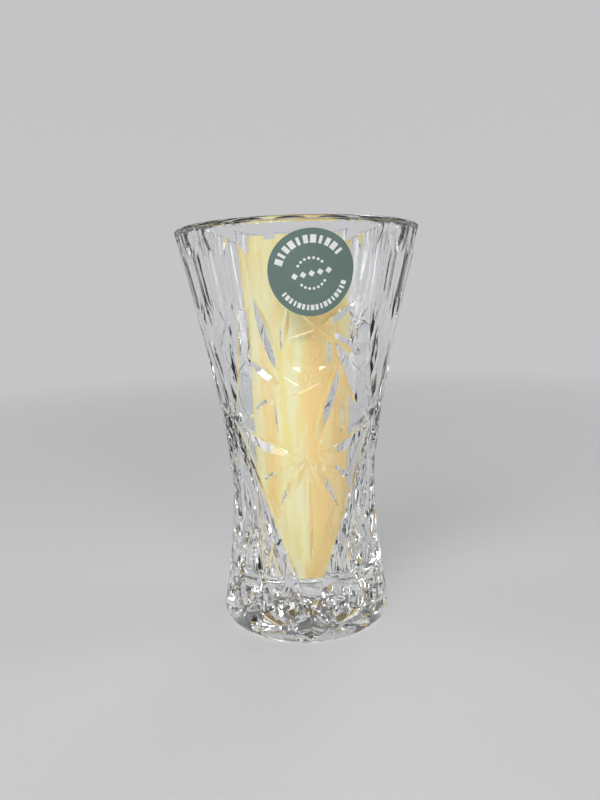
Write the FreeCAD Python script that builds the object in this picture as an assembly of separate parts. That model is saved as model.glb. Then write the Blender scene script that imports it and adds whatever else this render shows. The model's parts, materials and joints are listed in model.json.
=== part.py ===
"""A cut crystal vase, standing on its foot, with its label and the paper kept inside it.

Millimetres, +Z up, origin at the centre of the foot. The middle of the front panel looks along -Y.
A place on the side is an angle in degrees from that middle, growing towards +X, and a share of HEIGHT.
"""
import FreeCAD, Part
import math
import os

# ---- Driving dimensions -------------------------------------------------------------------------
HEIGHT = 127.0
FOOT_RADIUS = 28.9
WAIST_RADIUS = 24.1
WAIST_HEIGHT = 45.0
RIM_RADIUS = 38.5
LIP_HEIGHT = 2.0            # from the widest ring of the rim up to its top
MOUTH_RADIUS = 33.5
CAVITY_FLOOR_RADIUS = 14.5
FLOOR_THICKNESS = 14.0
FLOOR_ROUNDING = 2.5
FOOT_ROUNDING = 1.0
FOOT_RING_WIDTH = 6.0
FOOT_HOLLOW = 1.2
LOWER_SWELL = 1.8           # how late the side flares below the waist and above it
UPPER_SWELL = 1.43
CAVITY_SWELL = 1.25

PANELS = 3
CUT_HALF_ANGLE = 57.0       # of the mitre wheel's edge
WHEEL_CLEARANCE = 1.5       # how far a wheel stands out of the glass above and past its cut
LEAST_BEND = 0.02           # a wheel's path is never quite straight

RIM_PRINTS = 21
RIM_TURN = -5.8             # angle of the first thumbprint
PRINT_BALL_RADIUS = 18.0
PRINT_DEPTH = 1.3
PRINT_HEIGHT = 9.8
FLUTE_BALL_RADIUS = 20.0
FLUTE_DEPTH = 0.6
FLUTE_HEIGHT = 15.0
BALL_OVERRUN = 12.0

FOOT_POINTS = 15
FOOT_POINT_LEVEL = 0.157
FOOT_VALLEY_LEVEL = 0.052

LENS_PLACE = (1.5, 0.709)
LENS_DEPTH = 1.65
LENS_WHEEL_RADIUS = 10.9
LENS_WHEEL_HALF_WIDTH = 9.0
LENS_CROWN_RADIUS = 24.0    # of the wheel's bulging edge

LABEL_RADIUS = 11.7
LABEL_THICKNESS = 0.25
LABEL_CLEARANCE = 0.05
LABEL_ANGLE = 2.5
LABEL_BELOW_TOP = 15.0

PAPER_FOOT_RADIUS = 12.0
PAPER_TOP_RADIUS = 17.3
PAPER_BELLY = 3.4           # how much the sheet springs open above the narrow floor
PAPER_BELLY_RISE = 12.0
PAPER_THICKNESS = 0.6
PAPER_BELOW_TOP = 3.8

# ---- Cuts of one panel: start, end, width in mm -------------------------------------------------
SIDE_STAR = (60, 0.545)
FRONT_STAR = (0, 0.457)
LEFT_STAR = (-14.5, 0.637)
UPPER_STAR = (5.5, 0.765)

MIRRORED_CUTS = [
    ((0, 0.055), (62, 0.565), 4.8),
    ((30, 0.330), (64, 0.580), 4.8),
    ((13, 0.468), (46.5, 0.520), 3.8),
    (FRONT_STAR, (33, 0.402), 3.2),
    (FRONT_STAR, (22, 0.330), 3.4),
    (FRONT_STAR, (52, 0.545), 0.9),
    ((52, 0.560), (34.5, 0.850), 4.0),
    ((50.5, 0.590), (47, 0.665), 2.2),
    ((56.5, 0.770), (56.5, 0.850), 2.6),
    (SIDE_STAR, (33, 0.565), 2.8),
    ((43, 0.378), (36, 0.150), 3.6),
    ((43, 0.378), (60, 0.150), 3.8),
    ((27.5, 0.255), (36, 0.150), 3.0),
    ((27.5, 0.255), (12, 0.150), 2.8),
    ((46, 0.270), (36, 0.150), 2.6),
    ((29.5, 0.100), (19, 0.145), 2.8),
]
SINGLE_CUTS = [
    ((3, 0.490), (20, 0.690), 3.8),
    ((0, 0.460), (0, 0.195), 2.2),
    ((-15.5, 0.665), (-25, 0.835), 3.8),
    ((-13.5, 0.715), (-8.5, 0.815), 2.4),
    (LEFT_STAR, (-34, 0.702), 3.4),
    ((-16, 0.612), (-33.5, 0.578), 2.4),
    (UPPER_STAR, (25.5, 0.822), 3.2),
    (UPPER_STAR, (33, 0.702), 3.2),
    ((13.5, 0.750), (34.5, 0.578), 4.2),
    (SIDE_STAR, (60, 0.730), 3.4),
    (SIDE_STAR, (60, 0.350), 3.6),
    (UPPER_STAR, (-10, 0.745), 1.0),
    (UPPER_STAR, (-3, 0.800), 0.9),
    ((-12.5, 0.607), (11.5, 0.650), 1.0),
    ((-13.5, 0.659), (-0.5, 0.630), 0.9),
    ((-19.5, 0.600), (-19, 0.520), 1.0),
    ((22, 0.790), (29, 0.735), 1.0),
    ((22.5, 0.600), (22.5, 0.510), 1.0),
]
VALLEY_CUT_WIDTH = 3.6
VALLEY_LEAF_WIDTH = 3.4
VALLEY_LEAF_TOP = 0.137
VALLEY_LEAF_FOOT = 0.015

UP = FreeCAD.Vector(0, 0, 1)
CENTRE = FreeCAD.Vector(0, 0, 0)


# ---- The turned shape -----------------------------------------------------------------------------
def side_radius(height):
    """Radius of the uncut side at a height."""
    if height < WAIST_HEIGHT:
        share = (WAIST_HEIGHT - height) / WAIST_HEIGHT
        return WAIST_RADIUS + (FOOT_RADIUS - WAIST_RADIUS) * share ** LOWER_SWELL
    share = (height - WAIST_HEIGHT) / (HEIGHT - LIP_HEIGHT - WAIST_HEIGHT)
    return WAIST_RADIUS + (RIM_RADIUS - WAIST_RADIUS) * share ** UPPER_SWELL


def cavity_radius(height):
    """Radius of the hollow at a height."""
    share = max(0.0, (height - FLOOR_THICKNESS) / (HEIGHT - FLOOR_THICKNESS))
    return CAVITY_FLOOR_RADIUS + (MOUTH_RADIUS - CAVITY_FLOOR_RADIUS) * share ** CAVITY_SWELL


def side_point(angle, height):
    turn = math.radians(angle)
    radius = side_radius(height)
    return FreeCAD.Vector(radius * math.sin(turn), -radius * math.cos(turn), height)


def side_normal(angle, height):
    turn = math.radians(angle)
    slope = side_radius(height + 0.5) - side_radius(height - 0.5)
    normal = FreeCAD.Vector(math.sin(turn), -math.cos(turn), -slope)
    return normal.normalize()


def curve_through(radius_at, low, high, spans):
    """A smooth edge in the XZ plane that follows radius_at from low to high."""
    heights = [low + (high - low) * index / spans for index in range(spans + 1)]
    curve = Part.BSplineCurve()
    curve.interpolate([FreeCAD.Vector(radius_at(height), 0, height) for height in heights])
    return curve.toShape()


def line(start, end):
    return Part.LineSegment(start, end).toShape()


def arc(start, middle, end):
    return Part.Arc(start, middle, end).toShape()


def turned_blank():
    """The vase before it is cut: foot, side, rounded lip and hollow, turned about Z."""
    widest = HEIGHT - LIP_HEIGHT
    corner = 1 - math.sqrt(0.5)
    side = curve_through(side_radius, FOOT_ROUNDING, widest, 24)
    hollow = curve_through(cavity_radius, FLOOR_THICKNESS + FLOOR_ROUNDING, widest, 12)
    side_foot = FreeCAD.Vector(side_radius(FOOT_ROUNDING), 0, FOOT_ROUNDING)
    foot_edge = side_foot + FreeCAD.Vector(-FOOT_ROUNDING, 0, -FOOT_ROUNDING)
    foot_bend = side_foot + FreeCAD.Vector(-FOOT_ROUNDING * corner, 0, -FOOT_ROUNDING * (1 - corner))
    ring_edge = foot_edge + FreeCAD.Vector(-FOOT_RING_WIDTH, 0, 0)
    hollow_top = FreeCAD.Vector(0, 0, FOOT_HOLLOW)
    hollow_bend = FreeCAD.Vector(ring_edge.x / 2, 0, FOOT_HOLLOW * 0.75)
    floor = FreeCAD.Vector(0, 0, FLOOR_THICKNESS)
    wall_foot = FreeCAD.Vector(cavity_radius(FLOOR_THICKNESS + FLOOR_ROUNDING), 0,
                               FLOOR_THICKNESS + FLOOR_ROUNDING)
    floor_edge = wall_foot + FreeCAD.Vector(-FLOOR_ROUNDING, 0, -FLOOR_ROUNDING)
    floor_bend = wall_foot + FreeCAD.Vector(-FLOOR_ROUNDING * corner, 0, -FLOOR_ROUNDING * (1 - corner))
    outer_lip = FreeCAD.Vector(RIM_RADIUS, 0, widest)
    inner_lip = FreeCAD.Vector(cavity_radius(widest), 0, widest)
    lip_top = FreeCAD.Vector((outer_lip.x + inner_lip.x) / 2, 0, HEIGHT)
    edges = [
        arc(hollow_top, hollow_bend, ring_edge),
        line(ring_edge, foot_edge),
        arc(foot_edge, foot_bend, side_foot),
        side,
        arc(outer_lip, lip_top, inner_lip),
        hollow,
        arc(wall_foot, floor_bend, floor_edge),
        line(floor_edge, floor),
        line(floor, hollow_top),
    ]
    outline = Part.Wire(Part.__sortEdges__(edges))
    return Part.Face(outline).revolve(CENTRE, UP, 360)


# ---- The cutting wheels ---------------------------------------------------------------------------
def mitre_cut(start, end, width):
    """The wedge that a wheel takes out: a leaf that is pointed at both ends and deepest midway."""
    depth = width / 2 / math.tan(math.radians(CUT_HALF_ANGLE))
    first = side_point(start[0], start[1] * HEIGHT)
    last = side_point(end[0], end[1] * HEIGHT)
    angle = (start[0] + end[0]) / 2
    height = (start[1] + end[1]) / 2 * HEIGHT
    chord_middle = (first + last) / 2
    along = (last - first).normalize()
    outward = side_normal(angle, height)
    outward = (outward - along * outward.dot(along)).normalize()
    rise = (side_point(angle, height) - chord_middle).dot(outward) - depth
    rise = math.copysign(max(abs(rise), LEAST_BEND), rise)
    deepest = chord_middle + outward * rise
    path = Part.Circle(first, deepest, last)
    across = along.cross(outward)
    reach = depth + WHEEL_CLEARANCE
    half_width = reach * math.tan(math.radians(CUT_HALF_ANGLE))
    wedge = Part.makePolygon([
        deepest,
        deepest + outward * reach + across * half_width,
        deepest + outward * reach - across * half_width,
        deepest,
    ])
    half_turn = (first - path.Center).getAngle(deepest - path.Center)
    swing = math.degrees(half_turn + WHEEL_CLEARANCE / path.Radius)
    face = Part.Face(wedge)
    face.rotate(path.Center, across, -swing)
    return face.revolve(path.Center, across, 2 * swing)


def ball_flute(angle, foot_height, ball_radius, depth):
    """A round-nosed flute that starts at foot_height and runs up and out past the rim."""
    width = math.sqrt(2 * ball_radius * depth)
    height = foot_height + width
    outward = side_normal(angle, height)
    centre = side_point(angle, height) + outward * (ball_radius - depth)
    top = min(height + 6, HEIGHT)
    along = side_point(angle, top) - side_point(angle, height)
    along = along.normalize()
    ball = Part.makeSphere(ball_radius, centre)
    run = HEIGHT - height + BALL_OVERRUN
    barrel = Part.makeCylinder(ball_radius, run, centre, along)
    return ball.fuse(barrel)


def lens_cut():
    """The round lens of a panel, ground by the bulging edge of a small wheel."""
    height = LENS_PLACE[1] * HEIGHT
    outward = side_normal(LENS_PLACE[0], height)
    deepest = side_point(LENS_PLACE[0], height) - outward * LENS_DEPTH
    axle = outward.cross(UP).normalize()
    centre = deepest + outward * LENS_WHEEL_RADIUS
    bulge = LENS_CROWN_RADIUS - math.sqrt(LENS_CROWN_RADIUS ** 2 - LENS_WHEEL_HALF_WIDTH ** 2)
    left_hub = centre - axle * LENS_WHEEL_HALF_WIDTH
    right_hub = centre + axle * LENS_WHEEL_HALF_WIDTH
    left_edge = left_hub - outward * (LENS_WHEEL_RADIUS - bulge)
    right_edge = right_hub - outward * (LENS_WHEEL_RADIUS - bulge)
    half_section = Part.Wire([
        line(left_hub, left_edge),
        arc(left_edge, deepest, right_edge),
        line(right_edge, right_hub),
        line(right_hub, left_hub),
    ])
    return Part.Face(half_section).revolve(centre, axle, 360)


def mirrored(place):
    return (-place[0], place[1])


def panel_cuts():
    cuts = []
    for start, end, width in MIRRORED_CUTS:
        cuts.append(mitre_cut(start, end, width))
        cuts.append(mitre_cut(mirrored(start), mirrored(end), width))
    for start, end, width in SINGLE_CUTS:
        cuts.append(mitre_cut(start, end, width))
    cuts.append(lens_cut())
    return cuts


def foot_cuts():
    """The zigzag round the foot: a point over each of FOOT_POINTS, a valley between two."""
    pitch = 360 / FOOT_POINTS
    left_sides = []
    right_sides = []
    leaves = []
    for index in range(FOOT_POINTS):
        angle = pitch * (index + 0.5)
        point = (angle, FOOT_POINT_LEVEL)
        left_valley = (angle - pitch / 2, FOOT_VALLEY_LEVEL)
        right_valley = (angle + pitch / 2, FOOT_VALLEY_LEVEL)
        left_sides.append(mitre_cut(point, left_valley, VALLEY_CUT_WIDTH))
        right_sides.append(mitre_cut(point, right_valley, VALLEY_CUT_WIDTH))
        leaf_top = (angle, VALLEY_LEAF_TOP)
        leaf_foot = (angle, VALLEY_LEAF_FOOT)
        leaves.append(mitre_cut(leaf_top, leaf_foot, VALLEY_LEAF_WIDTH))
    return [left_sides, right_sides, leaves]


def rim_cuts():
    """The flutes under the rim, and the thumbprints over the ridges between them."""
    pitch = 360 / RIM_PRINTS
    print_foot = HEIGHT - PRINT_HEIGHT
    flute_foot = print_foot - FLUTE_HEIGHT
    flutes = []
    prints = []
    for index in range(RIM_PRINTS):
        angle = RIM_TURN + pitch * index
        flutes.append(ball_flute(angle + pitch / 2, flute_foot, FLUTE_BALL_RADIUS, FLUTE_DEPTH))
        prints.append(ball_flute(angle, print_foot, PRINT_BALL_RADIUS, PRINT_DEPTH))
    return [flutes, prints]


def vase():
    """The blank, cut in the order of the workshop: panels, flutes, thumbprints, foot."""
    shape = turned_blank()
    for panel in range(PANELS):
        tools = panel_cuts()
        for tool in tools:
            tool.rotate(CENTRE, UP, 360 / PANELS * panel)
        shape = shape.cut(tools)
    for tools in rim_cuts() + foot_cuts():
        shape = shape.cut(tools)
    return shape


# ---- Label and paper ------------------------------------------------------------------------------
def label():
    """A thin round sticker bent round the side, on the ridges between the rim's flutes."""
    height = HEIGHT - LABEL_BELOW_TOP
    low = height - LABEL_RADIUS * 1.3
    high = min(height + LABEL_RADIUS * 1.3, HEIGHT)
    corners = []
    for level, offset in [(low, 0), (high, 0), (high, 1), (low, 1)]:
        radius = side_radius(level) + LABEL_CLEARANCE + LABEL_THICKNESS * offset
        corners.append(FreeCAD.Vector(radius, 0, level))
    band = Part.Face(Part.makePolygon(corners + corners[:1])).revolve(CENTRE, UP, 360)
    outward = side_normal(LABEL_ANGLE, height)
    place = side_point(LABEL_ANGLE, height)
    punch = Part.makeCylinder(LABEL_RADIUS, 2 * LABEL_RADIUS, place - outward * LABEL_RADIUS, outward)
    return band.common(punch)


def paper_radius(height):
    """Outer radius of the roll: tucked in at the narrow floor, springing open above it."""
    rise = height - FLOOR_THICKNESS
    length = HEIGHT - PAPER_BELOW_TOP - FLOOR_THICKNESS
    flare = (PAPER_TOP_RADIUS - PAPER_FOOT_RADIUS - PAPER_BELLY) * rise / length
    return PAPER_FOOT_RADIUS + PAPER_BELLY * (1 - math.exp(-rise / PAPER_BELLY_RISE)) + flare


def paper_inner_radius(height):
    return paper_radius(height) - PAPER_THICKNESS


def paper_roll():
    """A loosely rolled sheet that stands on the floor of the hollow."""
    top = HEIGHT - PAPER_BELOW_TOP
    outer = curve_through(paper_radius, FLOOR_THICKNESS, top, 12)
    inner = curve_through(paper_inner_radius, FLOOR_THICKNESS, top, 12)
    ends = []
    for height in (FLOOR_THICKNESS, top):
        inside = FreeCAD.Vector(paper_inner_radius(height), 0, height)
        outside = FreeCAD.Vector(paper_radius(height), 0, height)
        ends.append(line(inside, outside))
    wall = Part.Wire(Part.__sortEdges__([outer, inner] + ends))
    return Part.Face(wall).revolve(CENTRE, UP, 360)


def main():
    os.makedirs("parts", exist_ok=True)
    pieces = {"crystal_vase": vase(), "round_label": label(), "paper_roll": paper_roll()}
    for name, shape in pieces.items():
        shape.exportStep(os.path.join("parts", name + ".step"))
        print(name, shape.isValid(), len(shape.Solids), round(shape.Volume, 1), shape.BoundBox)


main()
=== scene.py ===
# %% [markdown]
# # A cut crystal vase
# A crystal vase is one thick gather of glass. It is pressed to shape, and then a wheel grinds leaves,
# stars and mitres into its side. Here it is made in the same order: a turned blank first, then the
# wheels, then the sticker and the paper that came with it, then finishes, lamps and camera.
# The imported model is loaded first, because every piece is placed from it.

import json
import math

import bmesh
import bpy
from mathutils import Matrix, Vector

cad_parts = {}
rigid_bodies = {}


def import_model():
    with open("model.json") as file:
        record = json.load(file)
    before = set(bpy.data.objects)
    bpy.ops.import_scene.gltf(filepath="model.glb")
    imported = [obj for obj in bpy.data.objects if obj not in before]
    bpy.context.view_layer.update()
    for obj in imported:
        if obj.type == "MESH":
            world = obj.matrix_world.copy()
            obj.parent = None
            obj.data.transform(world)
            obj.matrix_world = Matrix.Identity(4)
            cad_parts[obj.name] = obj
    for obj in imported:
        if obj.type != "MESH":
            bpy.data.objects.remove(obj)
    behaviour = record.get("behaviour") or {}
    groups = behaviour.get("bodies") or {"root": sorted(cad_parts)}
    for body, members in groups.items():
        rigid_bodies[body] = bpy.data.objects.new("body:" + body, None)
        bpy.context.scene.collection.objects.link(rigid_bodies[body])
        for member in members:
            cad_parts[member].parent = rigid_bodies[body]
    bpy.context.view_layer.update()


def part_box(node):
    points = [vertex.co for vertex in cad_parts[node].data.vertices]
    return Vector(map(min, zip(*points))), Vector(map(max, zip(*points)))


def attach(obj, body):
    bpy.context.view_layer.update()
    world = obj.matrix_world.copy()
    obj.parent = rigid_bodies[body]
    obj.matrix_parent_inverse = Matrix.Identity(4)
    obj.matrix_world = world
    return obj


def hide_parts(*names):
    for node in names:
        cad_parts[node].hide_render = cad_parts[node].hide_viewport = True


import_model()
scene = bpy.context.scene

# %% [markdown]
# ## Sizes
# The vase's height and the cavity's floor come from the frame. The other sizes are millimetres times
# MM, so that they read as a maker would say them. The side is a formula: it swells downwards below
# the waist and upwards above it, so any height has an exact radius and the wheels can find the glass.

# %% Sizes of the turned shape
MM = 0.001
vase_low, vase_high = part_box("crystal_vase")
paper_low, paper_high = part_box("paper_roll")
HEIGHT = vase_high[2] - vase_low[2]
FLOOR_THICKNESS = paper_low[2]

FOOT_RADIUS = 28.9 * MM
WAIST_RADIUS = 24.1 * MM
WAIST_HEIGHT = 45.0 * MM
RIM_RADIUS = 38.5 * MM
LIP_HEIGHT = 2.0 * MM
MOUTH_RADIUS = 33.5 * MM
CAVITY_FLOOR_RADIUS = 14.5 * MM
FLOOR_ROUNDING = 2.5 * MM
FOOT_ROUNDING = 1.0 * MM
FOOT_RING_WIDTH = 6.0 * MM
FOOT_HOLLOW = 1.2 * MM
WIDEST = HEIGHT - LIP_HEIGHT
FOOT_CURVE = 1.8
FLARE_CURVE = 1.43
CAVITY_CURVE = 1.25


def side_radius(height):
    """Radius of the uncut side at a height."""
    if height < WAIST_HEIGHT:
        share = (WAIST_HEIGHT - height) / WAIST_HEIGHT
        return WAIST_RADIUS + (FOOT_RADIUS - WAIST_RADIUS) * share ** FOOT_CURVE
    share = (height - WAIST_HEIGHT) / (WIDEST - WAIST_HEIGHT)
    return WAIST_RADIUS + (RIM_RADIUS - WAIST_RADIUS) * share ** FLARE_CURVE


def cavity_radius(height):
    """Radius of the hollow at a height."""
    share = max(0.0, (height - FLOOR_THICKNESS) / (HEIGHT - FLOOR_THICKNESS))
    return CAVITY_FLOOR_RADIUS + (MOUTH_RADIUS - CAVITY_FLOOR_RADIUS) * share ** CAVITY_CURVE


def side_point(angle, height, lift=0.0):
    """A place on the side: degrees from the front, towards +X, and a height."""
    turn = math.radians(angle)
    radius = side_radius(height) + lift
    return Vector((radius * math.sin(turn), -radius * math.cos(turn), height))


def side_normal(angle, height):
    turn = math.radians(angle)
    slope = (side_radius(height + MM) - side_radius(height - MM)) / (2 * MM)
    return Vector((math.sin(turn), -math.cos(turn), -slope)).normalized()


# %% [markdown]
# ## Helpers at the bench
# Operators act on whatever is selected, so each step starts by selecting only what it needs.

# %% Helpers
SEAM_WELD = 0.002 * MM


def deselect_all():
    if bpy.context.mode != "OBJECT":
        bpy.ops.object.mode_set(mode="OBJECT")
    bpy.ops.object.select_all(action="DESELECT")


def pick(piece):
    deselect_all()
    piece.select_set(True)
    bpy.context.view_layer.objects.active = piece


def apply_modifiers(piece):
    pick(piece)
    for modifier in list(piece.modifiers):
        bpy.ops.object.modifier_apply(modifier=modifier.name)


def thicken(piece, thickness, offset):
    """Gives a sheet its thickness: offset 1 puts all of it on the outside, 0 half on each side."""
    modifier = piece.modifiers.new("thickness", "SOLIDIFY")
    modifier.thickness = thickness
    modifier.offset = offset
    apply_modifiers(piece)


def face_outwards():
    """Turns the normals outwards in Edit Mode, and goes back to Object Mode."""
    bpy.ops.mesh.select_all(action="SELECT")
    bpy.ops.mesh.normals_make_consistent(inside=False)
    bpy.ops.object.mode_set(mode="OBJECT")


def remove_piece(piece):
    mesh = piece.data
    bpy.data.objects.remove(piece)
    bpy.data.meshes.remove(mesh)


def draw_outline(name, points):
    """One vertex is extruded from point to point, as an outline is drawn by hand."""
    deselect_all()
    bpy.ops.mesh.primitive_plane_add(size=MM, location=points[0])
    piece = bpy.context.object
    piece.name = name
    bpy.ops.object.transform_apply(location=True, rotation=False, scale=False)
    bpy.ops.object.mode_set(mode="EDIT")
    bpy.ops.mesh.select_all(action="SELECT")
    bpy.ops.mesh.merge(type="CENTER")
    for before, after in zip(points, points[1:]):
        step = Vector(after) - Vector(before)
        bpy.ops.mesh.extrude_vertices_move(TRANSFORM_OT_translate={"value": step})
    return piece


def spin_round(piece, steps, angle=math.tau, centre=(0, 0, 0), axis=(0, 0, 1)):
    """Sweeps what is drawn round an axis and closes the seam."""
    bpy.ops.mesh.select_all(action="SELECT")
    bpy.ops.mesh.spin(steps=steps, angle=angle, center=centre, axis=axis)
    bpy.ops.mesh.select_all(action="SELECT")
    bpy.ops.mesh.remove_doubles(threshold=SEAM_WELD)
    face_outwards()


def arc_points(centre, radius_x, radius_z, first, last, steps):
    """Points of a quarter or half round in the XZ plane, angles in degrees from +X."""
    points = []
    for index in range(steps + 1):
        turn = math.radians(first + (last - first) * index / steps)
        place = Vector((radius_x * math.cos(turn), 0, radius_z * math.sin(turn)))
        points.append(Vector(centre) + place)
    return points


def check_closed(piece):
    mesh = bmesh.new()
    mesh.from_mesh(piece.data)
    open_edges = sum(1 for edge in mesh.edges if not edge.is_manifold)
    triangles = sum(len(face.verts) - 2 for face in mesh.faces)
    volume = mesh.calc_volume() / MM ** 3
    mesh.free()
    print(piece.name, "triangles", triangles, "open edges", open_edges, "mm3", round(volume))


# %% [markdown]
# ## The turned blank
# Glass bends light at every facet, so a coarse blank would show its flats as stripes. The outline is
# drawn with close points, spun in many steps, and its poles are merged to single points.

# %% The blank
ROUND_STEPS = 288
SIDE_STEPS = 84
CAVITY_STEPS = 40
LIP_STEPS = 30
BEND_STEPS = 14
HOLLOW_STEPS = 6


def blank_outline():
    foot_bend = (side_radius(FOOT_ROUNDING) - FOOT_ROUNDING, 0, FOOT_ROUNDING)
    points = [Vector((0, 0, FOOT_HOLLOW))]
    ring_edge = foot_bend[0] - FOOT_RING_WIDTH
    for index in range(1, HOLLOW_STEPS + 1):
        share = index / HOLLOW_STEPS
        points.append(Vector((ring_edge * share, 0, FOOT_HOLLOW * (1 - share ** 2))))
    points += arc_points(foot_bend, FOOT_ROUNDING, FOOT_ROUNDING, -90, 0, BEND_STEPS)
    for index in range(1, SIDE_STEPS):
        height = FOOT_ROUNDING + (WIDEST - FOOT_ROUNDING) * index / SIDE_STEPS
        points.append(Vector((side_radius(height), 0, height)))
    inner_lip = cavity_radius(WIDEST)
    lip_centre = ((RIM_RADIUS + inner_lip) / 2, 0, WIDEST)
    points += arc_points(lip_centre, (RIM_RADIUS - inner_lip) / 2, LIP_HEIGHT, 0, 180, LIP_STEPS)
    corner_top = FLOOR_THICKNESS + FLOOR_ROUNDING
    for index in range(1, CAVITY_STEPS):
        height = WIDEST + (corner_top - WIDEST) * index / CAVITY_STEPS
        points.append(Vector((cavity_radius(height), 0, height)))
    corner = (cavity_radius(corner_top) - FLOOR_ROUNDING, 0, corner_top)
    points += arc_points(corner, FLOOR_ROUNDING, FLOOR_ROUNDING, 0, -90, BEND_STEPS)
    points.append(Vector((0, 0, FLOOR_THICKNESS)))
    return points


vase = draw_outline("vase_glass", blank_outline())
spin_round(vase, ROUND_STEPS)
check_closed(vase)

# %% [markdown]
# ## The wheels
# A mitre wheel has a V edge. Plunged into a round side it leaves a leaf that is deepest in the middle
# and runs out to a point at both ends. The wheel's path is the circle through the two points and the
# deepest place, so here a wedge is spun along just that arc and then taken away from the glass.

# %% A mitre wheel and the tools that it cuts with
CUT_HALF_ANGLE = math.radians(57)
WHEEL_CLEARANCE = 1.5 * MM
LEAST_BEND = 0.02 * MM
LEAST_WEDGE_STEPS = 8
WEDGE_STEP = 0.9 * MM
cutters = bpy.data.collections.new("cutters")
scene.collection.children.link(cutters)


def keep_cutter(piece):
    for owner in list(piece.users_collection):
        owner.objects.unlink(piece)
    cutters.objects.link(piece)


def circle_centre(first, middle, last):
    """Centre of the circle through three points."""
    left = first - middle
    right = last - middle
    normal = left.cross(right)
    offset = (right * left.length_squared - left * right.length_squared).cross(normal)
    return middle + offset / (2 * normal.length_squared)


def wheel_cut(first, last, place, outward, width):
    """The wedge of a cut from first to last, under a place of the surface midway between them."""
    depth = width / 2 / math.tan(CUT_HALF_ANGLE)
    chord_middle = (first + last) / 2
    along = (last - first).normalized()
    outward = (outward - along * outward.dot(along)).normalized()
    rise = (place - chord_middle).dot(outward) - depth
    rise = math.copysign(max(abs(rise), LEAST_BEND), rise)
    deepest = chord_middle + outward * rise
    centre = circle_centre(first, deepest, last)
    radius = (deepest - centre).length
    across = along.cross(outward)
    reach = depth + WHEEL_CLEARANCE
    half_width = reach * math.tan(CUT_HALF_ANGLE)
    swing = (first - centre).angle(deepest - centre) + WHEEL_CLEARANCE / radius
    back = Matrix.Rotation(swing, 3, across)
    corners = [
        deepest,
        deepest + outward * reach + across * half_width,
        deepest + outward * reach - across * half_width,
    ]
    corners = [centre + back @ (corner - centre) for corner in corners]
    steps = max(LEAST_WEDGE_STEPS, round(2 * swing * radius / WEDGE_STEP))
    wedge = draw_outline("mitre", corners)
    bpy.ops.mesh.select_all(action="SELECT")
    bpy.ops.mesh.edge_face_add()
    spin_round(wedge, steps, 2 * swing, centre, across)
    keep_cutter(wedge)


def mitre_cut(start, end, width):
    """A cut in the side. Both places are degrees from the front and a share of the height."""
    angle = (start[0] + end[0]) / 2
    height = (start[1] + end[1]) / 2 * HEIGHT
    first = side_point(start[0], start[1] * HEIGHT)
    last = side_point(end[0], end[1] * HEIGHT)
    wheel_cut(first, last, side_point(angle, height), side_normal(angle, height), width)


def underside_point(angle, radius):
    turn = math.radians(angle)
    share = radius / (side_radius(FOOT_ROUNDING) - FOOT_ROUNDING - FOOT_RING_WIDTH)
    height = FOOT_HOLLOW * max(0, 1 - share ** 2)
    return Vector((radius * math.sin(turn), -radius * math.cos(turn), height))


def star_ray(angle, start, end, width):
    """A cut in the hollow under the foot, from one radius to another."""
    first = underside_point(angle, start)
    last = underside_point(angle, end)
    place = underside_point(angle, (start + end) / 2)
    wheel_cut(first, last, place, Vector((0, 0, -1)), width)


# %% [markdown]
# ## Round-nosed wheels
# The flutes under the rim and the thumbprints on it are ground with a round wheel. A ball with a
# barrel behind it is the same shape: the ball makes the round foot, the barrel runs out at the top.

# %% A flute and a lens
BALL_OVERRUN = 12.0 * MM
BALL_STEPS = 48
BALL_SPIN_STEPS = 192
FLUTE_AIM = 6.0 * MM
LENS_DEPTH = 1.65 * MM
LENS_WHEEL_RADIUS = 10.9 * MM
LENS_WHEEL_HALF_WIDTH = 9.0 * MM
LENS_CROWN_RADIUS = 24.0 * MM
LENS_STEPS = 48
LENS_SPIN_STEPS = 160


def ball_flute(angle, foot_height, ball_radius, depth):
    """A round groove from a height up over the rim. Its direction is that of the side at its foot."""
    height = foot_height + math.sqrt(2 * ball_radius * depth)
    centre = side_point(angle, height) + side_normal(angle, height) * (ball_radius - depth)
    ahead = side_point(angle, min(height + FLUTE_AIM, HEIGHT))
    along = (ahead - side_point(angle, height)).normalized()
    run = HEIGHT - height + BALL_OVERRUN
    outline = arc_points((0, 0, 0), ball_radius, ball_radius, -90, 0, BALL_STEPS)
    outline.append(Vector((ball_radius, 0, run)))
    outline.append(Vector((0, 0, run)))
    flute = draw_outline("flute", outline)
    spin_round(flute, BALL_SPIN_STEPS)
    turn = Vector((0, 0, 1)).rotation_difference(along)
    flute.matrix_world = Matrix.Translation(centre) @ turn.to_matrix().to_4x4()
    pick(flute)
    bpy.ops.object.transform_apply(location=True, rotation=True, scale=True)
    keep_cutter(flute)


def lens_cut(angle, share):
    """The bulging edge of a small wheel leaves a round lens."""
    height = share * HEIGHT
    outward = side_normal(angle, height)
    centre = side_point(angle, height) + outward * (LENS_WHEEL_RADIUS - LENS_DEPTH)
    axle = outward.cross(Vector((0, 0, 1))).normalized()
    bulge = math.asin(LENS_WHEEL_HALF_WIDTH / LENS_CROWN_RADIUS)
    outline = [centre - axle * LENS_WHEEL_HALF_WIDTH]
    for index in range(LENS_STEPS + 1):
        lean = bulge * (2 * index / LENS_STEPS - 1)
        across = LENS_CROWN_RADIUS * math.sin(lean)
        down = LENS_WHEEL_RADIUS - LENS_CROWN_RADIUS * (1 - math.cos(lean))
        outline.append(centre + axle * across - outward * down)
    outline.append(centre + axle * LENS_WHEEL_HALF_WIDTH)
    wheel = draw_outline("lens_wheel", outline)
    spin_round(wheel, LENS_SPIN_STEPS, centre=centre, axis=axle)
    keep_cutter(wheel)


# %% [markdown]
# ## The pattern
# A panel is a third of the way round. Each cut is a start, an end and a width: the places are degrees
# from the panel's middle and a share of the height. Cuts in the first list are made on both sides of
# the middle; the front of a panel has cuts of its own, because the cutter didn't mirror them.

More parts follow.
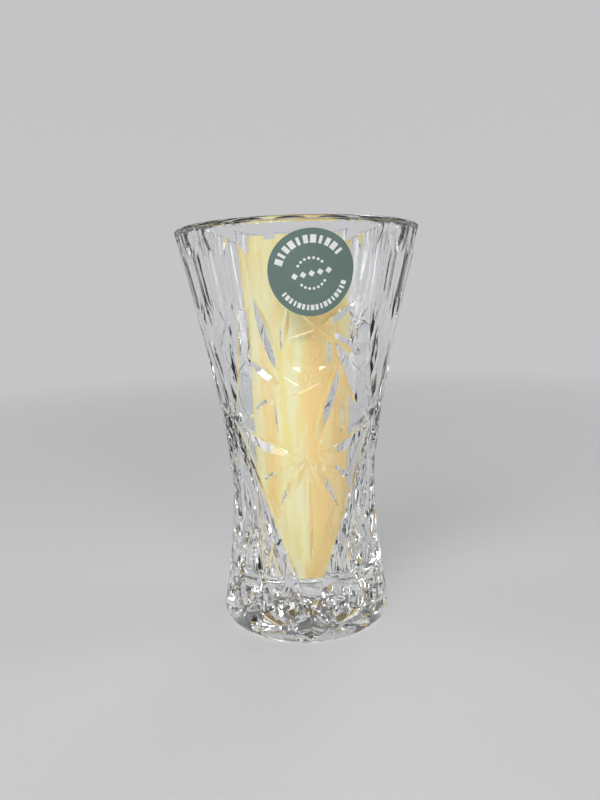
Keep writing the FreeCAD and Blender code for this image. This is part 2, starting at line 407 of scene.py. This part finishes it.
# %% Cuts of one panel
SIDE_STAR = (60, 0.545)
FRONT_STAR = (0, 0.457)
LEFT_STAR = (-14.5, 0.637)
UPPER_STAR = (5.5, 0.765)

MIRRORED_CUTS = [
    ((0, 0.055), (62, 0.565), 4.8),
    ((30, 0.330), (64, 0.580), 4.8),
    ((13, 0.468), (46.5, 0.520), 3.8),
    (FRONT_STAR, (33, 0.402), 3.2),
    (FRONT_STAR, (22, 0.330), 3.4),
    (FRONT_STAR, (52, 0.545), 0.9),
    ((52, 0.560), (34.5, 0.850), 4.0),
    ((50.5, 0.590), (47, 0.665), 2.2),
    ((56.5, 0.770), (56.5, 0.850), 2.6),
    (SIDE_STAR, (33, 0.565), 2.8),
    ((43, 0.378), (36, 0.150), 3.6),
    ((43, 0.378), (60, 0.150), 3.8),
    ((27.5, 0.255), (36, 0.150), 3.0),
    ((27.5, 0.255), (12, 0.150), 2.8),
    ((46, 0.270), (36, 0.150), 2.6),
    ((29.5, 0.100), (19, 0.145), 2.8),
]
SINGLE_CUTS = [
    ((3, 0.490), (20, 0.690), 3.8),
    ((0, 0.460), (0, 0.195), 2.2),
    ((-15.5, 0.665), (-25, 0.835), 3.8),
    ((-13.5, 0.715), (-8.5, 0.815), 2.4),
    (LEFT_STAR, (-34, 0.702), 3.4),
    ((-16, 0.612), (-33.5, 0.578), 2.4),
    (UPPER_STAR, (25.5, 0.822), 3.2),
    (UPPER_STAR, (33, 0.702), 3.2),
    ((13.5, 0.750), (34.5, 0.578), 4.2),
    (SIDE_STAR, (60, 0.730), 3.4),
    (SIDE_STAR, (60, 0.350), 3.6),
    (UPPER_STAR, (-10, 0.745), 1.0),
    (UPPER_STAR, (-3, 0.800), 0.9),
    ((-12.5, 0.607), (11.5, 0.650), 1.0),
    ((-13.5, 0.659), (-0.5, 0.630), 0.9),
    ((-19.5, 0.600), (-19, 0.520), 1.0),
    ((22, 0.790), (29, 0.735), 1.0),
    ((22.5, 0.600), (22.5, 0.510), 1.0),
]

PANELS = 3
LENS_PLACE = (1.5, 0.709)


def cut_panel(turn):
    for start, end, width in MIRRORED_CUTS:
        for side in (-1, 1):
            first = (turn + side * start[0], start[1])
            last = (turn + side * end[0], end[1])
            mitre_cut(first, last, width * MM)
    for start, end, width in SINGLE_CUTS:
        mitre_cut((turn + start[0], start[1]), (turn + end[0], end[1]), width * MM)
    lens_cut(turn + LENS_PLACE[0], LENS_PLACE[1])


for panel in range(PANELS):
    cut_panel(360 / PANELS * panel)

# %% [markdown]
# ## Foot and rim
# Round the foot runs a zigzag of fifteen points with a leaf in each, and a star is cut under it, which
# fills the thick base with light. Under the rim stand twenty-one flutes, and a thumbprint sits over
# each ridge between two of them.

# %% Foot and rim
FOOT_POINTS = 15
FOOT_POINT_LEVEL = 0.157
FOOT_VALLEY_LEVEL = 0.052
FOOT_LINE_WIDTH = 3.6 * MM
FOOT_LEAF_TOP = 0.137
FOOT_LEAF_END = 0.015
FOOT_LEAF_WIDTH = 3.4 * MM
STAR_RAYS = 8
RAY_START = 0.8 * MM
RAY_END = 25.5 * MM
RAY_WIDTH = 9.0 * MM
RIM_PRINTS = 21
RIM_TURN = -5.8
PRINT_HEIGHT = 9.8 * MM
PRINT_WHEEL_RADIUS = 18.0 * MM
PRINT_DEPTH = 1.3 * MM
FLUTE_HEIGHT = 15.0 * MM
FLUTE_WHEEL_RADIUS = 36.0 * MM
FLUTE_DEPTH = 0.35 * MM

foot_pitch = 360 / FOOT_POINTS
for index in range(FOOT_POINTS):
    angle = foot_pitch * (index + 0.5)
    for side in (-0.5, 0.5):
        valley = (angle + side * foot_pitch, FOOT_VALLEY_LEVEL)
        mitre_cut((angle, FOOT_POINT_LEVEL), valley, FOOT_LINE_WIDTH)
    mitre_cut((angle, FOOT_LEAF_TOP), (angle, FOOT_LEAF_END), FOOT_LEAF_WIDTH)

for index in range(STAR_RAYS):
    star_ray(360 / STAR_RAYS * index, RAY_START, RAY_END, RAY_WIDTH)

rim_pitch = 360 / RIM_PRINTS
for index in range(RIM_PRINTS):
    angle = RIM_TURN + rim_pitch * index
    print_foot = HEIGHT - PRINT_HEIGHT
    flute_foot = print_foot - FLUTE_HEIGHT
    ball_flute(angle, print_foot, PRINT_WHEEL_RADIUS, PRINT_DEPTH)
    ball_flute(angle + rim_pitch / 2, flute_foot, FLUTE_WHEEL_RADIUS, FLUTE_DEPTH)

# %% [markdown]
# ## Grinding
# One Boolean modifier takes the whole collection of wheels away. The Manifold solver is quick and
# keeps closed shapes closed. Shading is then smooth within a facet and sharp where two facets meet.

# %% Take the cuts away
FACET_WELD = 0.001 * MM
FACET_ANGLE = math.radians(7)

grind = vase.modifiers.new("grind", "BOOLEAN")
grind.operation = "DIFFERENCE"
grind.operand_type = "COLLECTION"
grind.collection = cutters
grind.solver = "MANIFOLD"
apply_modifiers(vase)
for cutter in list(cutters.objects):
    remove_piece(cutter)
bpy.data.collections.remove(cutters)
pick(vase)
bpy.ops.object.mode_set(mode="EDIT")
bpy.ops.mesh.select_all(action="SELECT")
bpy.ops.mesh.remove_doubles(threshold=FACET_WELD)
bpy.ops.object.mode_set(mode="OBJECT")
bpy.ops.object.shade_smooth_by_angle(angle=FACET_ANGLE)
check_closed(vase)


# %% [markdown]
# ## The sticker
# The maker's sticker is a round piece of film, bent round the side over the ridges of the flutes. It
# is drawn flat, as a disc of rings, and every point is then laid on the side by its distance across
# and along it. Its print is plain: bars and dots where such stickers carry words.

# %% Bend flat work round the side
LABEL_RADIUS = 11.7 * MM
LABEL_SIDES = 120
LABEL_RINGS = 14
LABEL_THICKNESS = 0.25 * MM
LABEL_LIFT = 0.05 * MM
LABEL_ANGLE = 2.5
LABEL_BELOW_RIM = 15.0 * MM
LABEL_HEIGHT = HEIGHT - LABEL_BELOW_RIM
PRINT_LIFT = LABEL_LIFT + LABEL_THICKNESS
INK_THICKNESS = 0.03 * MM
LABEL_EDGE_ANGLE = math.radians(30)


def lay_on_side(piece, lift):
    """Takes X as the way round the side and Y as the way up it."""
    normal = side_normal(LABEL_ANGLE, LABEL_HEIGHT)
    climb = math.hypot(normal.x, normal.y)
    for vertex in piece.data.vertices:
        across, up, above = vertex.co
        angle = LABEL_ANGLE + math.degrees(across / side_radius(LABEL_HEIGHT))
        height = LABEL_HEIGHT + up * climb
        place = side_point(angle, height)
        vertex.co = place + side_normal(angle, height) * (lift + above)


deselect_all()
bpy.ops.mesh.primitive_circle_add(vertices=LABEL_SIDES, radius=LABEL_RADIUS)
label = bpy.context.object
label.name = "label_film"
bpy.ops.object.mode_set(mode="EDIT")
bpy.ops.mesh.select_all(action="SELECT")
for ring in range(LABEL_RINGS, 1, -1):
    shrink = (ring - 1) / ring
    bpy.ops.mesh.extrude_edges_move()
    bpy.ops.transform.resize(value=(shrink, shrink, 1))
bpy.ops.mesh.edge_face_add()
bpy.ops.mesh.poke()
face_outwards()
lay_on_side(label, LABEL_LIFT)
thicken(label, LABEL_THICKNESS, 1)
bpy.ops.object.mode_set(mode="EDIT")
face_outwards()
bpy.ops.object.shade_smooth_by_angle(angle=LABEL_EDGE_ANGLE)
check_closed(label)


# %% Print on the sticker
LABEL_TURN = 10.0
# Each row of bars: degrees from the top, how many, their widths in turn, their height, the radius of
# the row, and the degrees from bar to bar. Sizes are millimetres.
BAR_ROWS = [
    (0, 11, (1.5, 0.8, 1.2), 2.1, 9.0, 12.0),
    (180, 17, (1.0, 0.6, 0.8), 1.5, 9.3, 8.0),
]
DIAMONDS = 5
DIAMOND_SIZE = 1.3 * MM
DIAMOND_SPACING = 2.3 * MM
DOTS = 7
DOT_SIZE = 0.55 * MM
DOT_SIDES = 12
DOT_ROW_RADIUS = 4.1 * MM
DOT_SPACING = 17.0


def print_mark(width, height, radius, turn, sides=4):
    """One white mark at a radius and a turn from the sticker's top, standing on the ring."""
    deselect_all()
    bpy.ops.mesh.primitive_circle_add(vertices=sides, radius=0.5 * math.sqrt(2), fill_type="NGON")
    mark = bpy.context.object
    if sides == 4:
        mark.rotation_euler.z = math.radians(45)
        bpy.ops.object.transform_apply(location=False, rotation=True, scale=False)
    mark.scale = (width, height, 1)
    mark.rotation_euler.z = math.radians(-turn)
    mark.location = (radius * math.sin(math.radians(turn)), radius * math.cos(math.radians(turn)), 0)
    bpy.ops.object.transform_apply(location=True, rotation=True, scale=True)
    return mark


def label_marks():
    marks = []
    for middle, count, widths, height, radius, spacing in BAR_ROWS:
        for index in range(count):
            width = widths[index % len(widths)] * MM
            turn = middle + (index - count // 2) * spacing
            marks.append(print_mark(width, height * MM, radius * MM, turn))
    for index in range(DIAMONDS):
        marks.append(print_mark(DIAMOND_SIZE, DIAMOND_SIZE, 0, 0))
        marks[-1].location.x = (index - DIAMONDS // 2) * DIAMOND_SPACING
        marks[-1].rotation_euler.z = math.radians(45)
    for middle in (0, 180):
        for index in range(DOTS):
            turn = middle + (index - DOTS // 2) * DOT_SPACING
            marks.append(print_mark(DOT_SIZE, DOT_SIZE, DOT_ROW_RADIUS, turn, sides=DOT_SIDES))
    return marks


marks = label_marks()
deselect_all()
for mark in marks:
    mark.select_set(True)
bpy.context.view_layer.objects.active = marks[0]
bpy.ops.object.join()
label_print = bpy.context.object
label_print.name = "label_print"
bpy.ops.object.transform_apply(location=True, rotation=True, scale=True)
label_print.rotation_euler.z = math.radians(LABEL_TURN)
bpy.ops.object.transform_apply(location=True, rotation=True, scale=True)
lay_on_side(label_print, PRINT_LIFT)
thicken(label_print, INK_THICKNESS, 1)
check_closed(label_print)

# %% [markdown]
# ## The paper
# The yellow paper is one sheet, rolled a little more than once round and let go, so it stands as an
# open cone with an overlap. Its edge is drawn as a spiral with soft folds, swept up the cone, and
# given a thickness.

# %% Roll the sheet
PAPER_FOOT_RADIUS = 12.0 * MM
PAPER_TOP_RADIUS = 17.3 * MM
PAPER_BELLY = 3.4 * MM
PAPER_BELLY_RISE = 12.0 * MM
PAPER_WALL = 0.6 * MM
SHEET_THICKNESS = 0.16 * MM
SHEET_TURNS = 1.22
SHEET_STEPS = 220
SHEET_RISES = 60
SHEET_START = math.radians(215)
PAPER_LENGTH = paper_high[2] - paper_low[2]
PAPER_EDGE_ANGLE = math.radians(40)
# Each soft fold: its height in millimetres, how many stand round the roll, and how far they lean.
FOLDS = [
    (0.30, 3, 2.0),
    (0.22, 8, -3.0),
]
CRUMPLE_HEIGHT = 0.14
CRUMPLES_ROUND = 17
CRUMPLE_LEAN = 5.0
CRUMPLES_UP = 9.0
FOLD_FREEDOM = 3


def paper_radius(rise):
    """Radius of the roll at a height above its foot: tucked in low down, then springing open."""
    flare = (PAPER_TOP_RADIUS - PAPER_FOOT_RADIUS - PAPER_BELLY) * rise / PAPER_LENGTH
    return PAPER_FOOT_RADIUS + PAPER_BELLY * (1 - math.exp(-rise / PAPER_BELLY_RISE)) + flare


def sheet_point(share_round, share_up):
    """A place on the sheet: how far along its width, and how far up."""
    turn = SHEET_START + share_round * SHEET_TURNS * math.tau
    rise = share_up * PAPER_LENGTH
    tuck = (PAPER_WALL - SHEET_THICKNESS) * share_round
    folds = sum(rise_by * math.sin(count * turn + lean * share_up) for rise_by, count, lean in FOLDS)
    crumple = CRUMPLE_HEIGHT * math.sin(CRUMPLES_ROUND * turn + CRUMPLE_LEAN * share_up)
    folds += crumple * math.sin(CRUMPLES_UP * share_up)
    freedom = min(1.0, FOLD_FREEDOM * share_up)
    radius = paper_radius(rise) - SHEET_THICKNESS - tuck + folds * MM * freedom
    return Vector((radius * math.sin(turn), -radius * math.cos(turn), paper_low[2] + rise))


deselect_all()
bpy.ops.mesh.primitive_grid_add(x_subdivisions=SHEET_STEPS, y_subdivisions=SHEET_RISES, size=1)
paper = bpy.context.object
paper.name = "rolled_paper"
for vertex in paper.data.vertices:
    vertex.co = sheet_point(vertex.co.x + 0.5, vertex.co.y + 0.5)
thicken(paper, SHEET_THICKNESS, 0)
bpy.ops.object.mode_set(mode="EDIT")
face_outwards()
bpy.ops.object.shade_smooth_by_angle(angle=PAPER_EDGE_ANGLE)
check_closed(paper)

# %% [markdown]
# ## Finishes
# The shared effects are node groups that give out only masks and values. Each material puts its own
# amounts in and keeps its own Principled shader.

# %% Small tools for node trees
def link(tree, start, end):
    tree.links.new(start, end)


def new_group(name, inputs, outputs):
    group = bpy.data.node_groups.new(name, "ShaderNodeTree")
    for title, value in inputs:
        socket = group.interface.new_socket(title, in_out="INPUT", socket_type="NodeSocketFloat")
        socket.default_value = value
    for title in outputs:
        group.interface.new_socket(title, in_out="OUTPUT", socket_type="NodeSocketFloat")
    return group, group.nodes.new("NodeGroupInput"), group.nodes.new("NodeGroupOutput")


def noise_on(tree, vector, scale, detail):
    noise = tree.nodes.new("ShaderNodeTexNoise")
    noise.inputs["Detail"].default_value = detail
    link(tree, vector, noise.inputs["Vector"])
    link(tree, scale, noise.inputs["Scale"])
    return noise.outputs["Fac"]


def spread_values(tree, value, low, high, first=0.0, last=1.0):
    """Stretches the values from low to high over first to last."""
    spread = tree.nodes.new("ShaderNodeMapRange")
    for title, amount in (("From Min", low), ("From Max", high), ("To Min", first), ("To Max", last)):
        spread.inputs[title].default_value = amount
    link(tree, value, spread.inputs["Value"])
    return spread.outputs["Result"]


def blend_colours(tree, mask, first, second):
    """Mixes two colours by a mask. The first may be the result of another mix."""
    mix = tree.nodes.new("ShaderNodeMix")
    mix.data_type = "RGBA"
    if isinstance(first, tuple):
        mix.inputs["A"].default_value = (*first, 1)
    else:
        link(tree, first, mix.inputs["A"])
    mix.inputs["B"].default_value = (*second, 1)
    link(tree, mask, mix.inputs["Factor"])
    return mix.outputs["Result"]


def calculate(tree, operation, value, amount=0.0):
    node = tree.nodes.new("ShaderNodeMath")
    node.operation = operation
    link(tree, value, node.inputs[0])
    node.inputs[1].default_value = amount
    return node.outputs["Value"]


def new_material(name, group, values):
    material = bpy.data.materials.new(name)
    material.use_nodes = True
    tree = material.node_tree
    shader = tree.nodes["Principled BSDF"]
    effect = tree.nodes.new("ShaderNodeGroup")
    effect.node_tree = group
    for title, value in values.items():
        effect.inputs[title].default_value = value
    return material, tree, shader, effect


def add_bump(tree, height, shader, strength, distance):
    bump = tree.nodes.new("ShaderNodeBump")
    bump.inputs["Strength"].default_value = strength
    bump.inputs["Distance"].default_value = distance
    link(tree, height, bump.inputs["Height"])
    link(tree, bump.outputs["Normal"], shader.inputs["Normal"])


# %% Shared effects
HANDLED_FROM, HANDLED_TO = 0.45, 0.70
FOLD_FROM, FOLD_TO = 0.42, 0.60
STAIN_FROM, STAIN_TO = 0.47, 0.62
# How wide the painted highlight along each crease is, in the fold noise's own values.
CREASE_HIGHLIGHT_WIDTH = 0.008
DRAWN_OUT = 0.14


def ripple_group():
    """Slow waves and fine grain on Object coordinates: a height, and a mask of where hands touched."""
    group, given, out = new_group(
        "surface_ripple",
        [("Wave Scale", 60.0), ("Grain Scale", 900.0), ("Grain Amount", 0.1)],
        ["Height", "Mask"],
    )
    place = group.nodes.new("ShaderNodeTexCoord").outputs["Object"]
    wave = noise_on(group, place, given.outputs["Wave Scale"], 2.0)
    grain = noise_on(group, place, given.outputs["Grain Scale"], 4.0)
    mix = group.nodes.new("ShaderNodeMix")
    link(group, given.outputs["Grain Amount"], mix.inputs["Factor"])
    link(group, wave, mix.inputs["A"])
    link(group, grain, mix.inputs["B"])
    link(group, mix.outputs["Result"], out.inputs["Height"])
    link(group, spread_values(group, wave, HANDLED_FROM, HANDLED_TO), out.inputs["Mask"])
    return group


def crease_group():
    """Folds, stains and thin creases of rolled paper, all drawn out up the roll; the pale line along
    each crease is a painted highlight.
    """
    group, given, out = new_group(
        "paper_creases",
        [("Fold Scale", 190.0), ("Stain Scale", 75.0)],
        ["Height", "Fold", "Stain", "Crease Highlight"],
    )
    place = group.nodes.new("ShaderNodeTexCoord").outputs["Object"]
    drawn_out = group.nodes.new("ShaderNodeMapping")
    drawn_out.inputs["Scale"].default_value = (1.0, 1.0, DRAWN_OUT)
    link(group, place, drawn_out.inputs["Vector"])
    fold = noise_on(group, drawn_out.outputs["Vector"], given.outputs["Fold Scale"], 3.0)
    stain = noise_on(group, drawn_out.outputs["Vector"], given.outputs["Stain Scale"], 2.0)
    # The crease mask is a painted highlight: a thin pale line where the fold noise crosses its middle.
    from_line = calculate(group, "ABSOLUTE", calculate(group, "SUBTRACT", fold, 0.5))
    link(group, fold, out.inputs["Height"])
    link(group, spread_values(group, fold, FOLD_FROM, FOLD_TO), out.inputs["Fold"])
    link(group, spread_values(group, stain, STAIN_FROM, STAIN_TO), out.inputs["Stain"])
    link(group, spread_values(group, from_line, 0.0, CREASE_HIGHLIGHT_WIDTH, 1.0, 0.0), out.inputs["Crease Highlight"])
    return group


ripple = ripple_group()
creases = crease_group()

# %% [markdown]
# ## Crystal
# The crystal is one refracting shader with a slow ripple. Such a shader stops the rays that are sent
# from a lamp, so what stands in the glass would be dim. For those rays alone it is a clear tint, which
# also gives the glass its light shadow.

# %% Crystal
SHADOW_TINT = (0.8, 0.8, 0.8, 1)
CRYSTAL_TINT = (0.985, 0.992, 0.995, 1)
CRYSTAL_IOR = 1.55
HANDLED_ROUGHNESS = 0.03
RIPPLE_STRENGTH = 0.35
RIPPLE_HEIGHT = 0.4 * MM


def let_lamps_through(tree, shader):
    clear = tree.nodes.new("ShaderNodeBsdfTransparent")
    clear.inputs["Color"].default_value = SHADOW_TINT
    path = tree.nodes.new("ShaderNodeLightPath")
    choice = tree.nodes.new("ShaderNodeMixShader")
    link(tree, path.outputs["Is Shadow Ray"], choice.inputs["Fac"])
    link(tree, shader.outputs["BSDF"], choice.inputs[1])
    link(tree, clear.outputs["BSDF"], choice.inputs[2])
    link(tree, choice.outputs["Shader"], tree.nodes["Material Output"].inputs["Surface"])


def crystal_material():
    """Clear crystal: polished, with the slow ripple that pressing leaves."""
    values = {"Wave Scale": 90.0, "Grain Scale": 1500.0, "Grain Amount": 0.02}
    material, tree, shader, effect = new_material("cut_crystal", ripple, values)
    shader.inputs["Base Color"].default_value = CRYSTAL_TINT
    shader.inputs["IOR"].default_value = CRYSTAL_IOR
    shader.inputs["Transmission Weight"].default_value = 1.0
    touched = spread_values(tree, effect.outputs["Mask"], 0.0, 1.0, 0.0, HANDLED_ROUGHNESS)
    link(tree, touched, shader.inputs["Roughness"])
    add_bump(tree, effect.outputs["Height"], shader, RIPPLE_STRENGTH, RIPPLE_HEIGHT)
    let_lamps_through(tree, shader)
    return material


# %% Sticker film, ink and paper
FILM_DARK = (0.125, 0.188, 0.165)
FILM_LIGHT = (0.140, 0.205, 0.182)
FILM_ROUGHNESS = (0.38, 0.5)
FILM_BUMP = (0.15, 0.05 * MM)
INK_DARK = (0.80, 0.82, 0.80)
INK_LIGHT = (0.88, 0.89, 0.87)
INK_ROUGHNESS = 0.5
PAPER_CREAM = (0.85, 0.80, 0.47)
PAPER_YELLOW = (0.84, 0.72, 0.26)
PAPER_STAIN = (0.87, 0.61, 0.22)
# The crease colour is a painted highlight, a pale line along each crease.
PAPER_CREASE_HIGHLIGHT = (0.89, 0.82, 0.50)
PAPER_ROUGHNESS = 0.75
PAPER_BUMP = (0.9, 1.1 * MM)


def film_material():
    values = {"Wave Scale": 150.0, "Grain Scale": 4000.0, "Grain Amount": 0.5}
    material, tree, shader, effect = new_material("sticker_film", ripple, values)
    mask = effect.outputs["Mask"]
    tone = blend_colours(tree, mask, FILM_DARK, FILM_LIGHT)
    link(tree, tone, shader.inputs["Base Color"])
    link(tree, spread_values(tree, mask, 0.0, 1.0, *FILM_ROUGHNESS), shader.inputs["Roughness"])
    add_bump(tree, effect.outputs["Height"], shader, *FILM_BUMP)
    return material


def ink_material():
    values = {"Wave Scale": 300.0, "Grain Scale": 5000.0, "Grain Amount": 0.5}
    material, tree, shader, effect = new_material("sticker_ink", ripple, values)
    tone = blend_colours(tree, effect.outputs["Mask"], INK_DARK, INK_LIGHT)
    link(tree, tone, shader.inputs["Base Color"])
    shader.inputs["Roughness"].default_value = INK_ROUGHNESS
    return material


def paper_material():
    """Butter-coloured paper: cream on the folds, yellow between them, with warm stains and a painted
    highlight along each crease.
    """
    values = {"Fold Scale": 190.0, "Stain Scale": 75.0}
    material, tree, shader, effect = new_material("butter_paper", creases, values)
    tone = blend_colours(tree, effect.outputs["Fold"], PAPER_CREAM, PAPER_YELLOW)
    tone = blend_colours(tree, effect.outputs["Stain"], tone, PAPER_STAIN)
    # A painted highlight: the pale line along each crease.
    tone = blend_colours(tree, effect.outputs["Crease Highlight"], tone, PAPER_CREASE_HIGHLIGHT)
    link(tree, tone, shader.inputs["Base Color"])
    shader.inputs["Roughness"].default_value = PAPER_ROUGHNESS
    add_bump(tree, effect.outputs["Height"], shader, *PAPER_BUMP)
    return material


def dress(piece, material, body, slot, *replaced):
    piece.data.materials.clear()
    piece.data.materials.append(material)
    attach(piece, body)
    if replaced:
        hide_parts(*replaced)


dress(vase, crystal_material(), "vase", "crystal", "crystal_vase")
dress(label, film_material(), "vase", "label_paper", "round_label")
dress(label_print, ink_material(), "vase", "label_paper")
dress(paper, paper_material(), "paper", "yellow_paper", "paper_roll")

# %% [markdown]
# ## The studio
# Clear glass shows nothing of its own: it shows its surroundings, bent. So the studio gives it
# something to bend. The floor is pale and fades, well outside the shadow, into a backdrop of the same
# tone. The dome above is dark, and that draws the facets.

# %% Floor
FLOOR_DROP = 0.2 * MM
FLOOR_RADIUS = 1.0
FLOOR_SIDES = 128
FLOOR_ROUGHNESS = 0.6
FLOOR_TONE = (0.66, 0.66, 0.665, 1)
FADE_START = 0.16
FADE_END = 0.62

deselect_all()
bpy.ops.mesh.primitive_circle_add(
    vertices=FLOOR_SIDES, radius=FLOOR_RADIUS, fill_type="NGON", location=(0, 0, -FLOOR_DROP))
floor = bpy.context.object
floor.name = "floor"
bpy.ops.object.transform_apply(location=True, rotation=False, scale=False)


def floor_material():
    material = bpy.data.materials.new("floor_paint")
    material.use_nodes = True
    tree = material.node_tree
    shader = tree.nodes["Principled BSDF"]
    shader.inputs["Base Color"].default_value = FLOOR_TONE
    shader.inputs["Roughness"].default_value = FLOOR_ROUGHNESS
    distance = tree.nodes.new("ShaderNodeVectorMath")
    distance.operation = "LENGTH"
    place = tree.nodes.new("ShaderNodeTexCoord")
    link(tree, place.outputs["Object"], distance.inputs[0])
    clear = tree.nodes.new("ShaderNodeBsdfTransparent")
    fade = tree.nodes.new("ShaderNodeMixShader")
    share = spread_values(tree, distance.outputs["Value"], FADE_START, FADE_END)
    link(tree, share, fade.inputs["Fac"])
    link(tree, shader.outputs["BSDF"], fade.inputs[1])
    link(tree, clear.outputs["BSDF"], fade.inputs[2])
    link(tree, fade.outputs["Shader"], tree.nodes["Material Output"].inputs["Surface"])
    return material


floor.data.materials.append(floor_material())

# %% World
# The dome's tones, by height: 0 is straight down, 0.5 the horizon and 1 straight up.
DOME = [
    (0.0, (0.56, 0.56, 0.57)),
    (0.41, (0.55, 0.55, 0.56)),
    (0.52, (0.10, 0.104, 0.11)),
    (1.0, (0.24, 0.245, 0.25)),
]
world = bpy.data.worlds.new("studio")
scene.world = world
world.use_nodes = True
tree = world.node_tree
background = tree.nodes["Background"]
place = tree.nodes.new("ShaderNodeTexCoord")
split = tree.nodes.new("ShaderNodeSeparateXYZ")
dome = tree.nodes.new("ShaderNodeValToRGB")
link(tree, place.outputs["Generated"], split.inputs["Vector"])
link(tree, split.outputs["Z"], dome.inputs["Fac"])
link(tree, dome.outputs["Color"], background.inputs["Color"])
ramp = dome.color_ramp
ramp.elements[1].position = DOME[-1][0]
ramp.elements[0].color = (*DOME[0][1], 1)
ramp.elements[1].color = (*DOME[-1][1], 1)
for height, tone in DOME[1:-1]:
    ramp.elements.new(height).color = (*tone, 1)

# %% [markdown]
# ## Lamps
# One large soft box lights the front. The small ones are for the glass: two low ones stand in the
# lens like windows, two tall strips run down the sides, and the others glint in the rim and the foot.

# %% Lamps
# Each soft box: its name, its place, its width and height in metres, and its power in watts.
SOFT_BOXES = [
    ("key", (-0.45, -0.60, 0.75), 0.55, 0.55, 4.2),
    ("right_window", (0.264, -0.593, 0.322), 0.12, 0.16, 0.6),
    ("left_window", (-0.10, -0.64, 0.322), 0.10, 0.14, 0.5),
    ("left_strip", (-0.62, 0.12, 0.34), 0.10, 0.45, 0.6),
    ("right_strip", (0.62, 0.05, 0.36), 0.10, 0.45, 0.6),
    ("top", (0.05, 0.08, 0.90), 0.25, 0.25, 0.8),
    ("back", (0.30, 0.65, 0.70), 0.16, 0.16, 0.5),
]
aim = Vector((0, 0, HEIGHT / 2))
for name, place, width, height, power in SOFT_BOXES:
    lamp = bpy.data.lights.new(name, "AREA")
    lamp.shape = "RECTANGLE"
    lamp.size = width
    lamp.size_y = height
    lamp.energy = power
    box = bpy.data.objects.new(name, lamp)
    scene.collection.objects.link(box)
    box.location = place
    box.rotation_euler = (aim - Vector(place)).to_track_quat("-Z", "Y").to_euler()
print("soft boxes", len(SOFT_BOXES))

# %% [markdown]
# ## Camera
# The lens is close to the vase and a little above its middle, so the rim looks wide and the foot
# looks narrow. The distances are shares of the height.

# %% Camera
VIEW_TURN = math.radians(-3.5)
PITCH = -0.1802
ROLL = -0.0295
YAW = 0.0021
CAMERA_BACK = 1.5565
CAMERA_UP = 0.8464
LENS_LENGTH = 27.0
SENSOR_WIDTH = 36.0
NEAREST = 0.01
camera_data = bpy.data.cameras.new("camera")
camera_data.lens = LENS_LENGTH
camera_data.sensor_width = SENSOR_WIDTH
camera_data.clip_start = NEAREST
camera = bpy.data.objects.new("camera", camera_data)
scene.collection.objects.link(camera)
around = Matrix.Rotation(VIEW_TURN, 4, "Z")
stand = Matrix.Translation((0, -CAMERA_BACK * HEIGHT, CAMERA_UP * HEIGHT))
tilt = Matrix.Rotation(math.radians(90) + PITCH, 4, "X") @ Matrix.Rotation(ROLL, 4, "Z")
camera.matrix_world = around @ stand @ Matrix.Rotation(YAW, 4, "Z") @ tilt
scene.camera = camera

scene.view_settings.view_transform = "Standard"

# %% [markdown]
# ## Bounces
# A ray that enters cut glass crosses many facets before it leaves. Crossings are given plenty of
# bounces. Mirror bounces inside the glass are kept few: the rays that run about in the wall for
# longest are cut off there and end dark. Real crystal doesn't do this. The limit is set for contrast,
# so that the facets stand out from each other.

# %% Bounces
CROSSINGS = 32
MIRROR_BOUNCES = 5
CLEAR_CROSSINGS = 16
scene.cycles.max_bounces = CROSSINGS
scene.cycles.transmission_bounces = CROSSINGS
scene.cycles.glossy_bounces = MIRROR_BOUNCES
scene.cycles.transparent_max_bounces = CLEAR_CROSSINGS
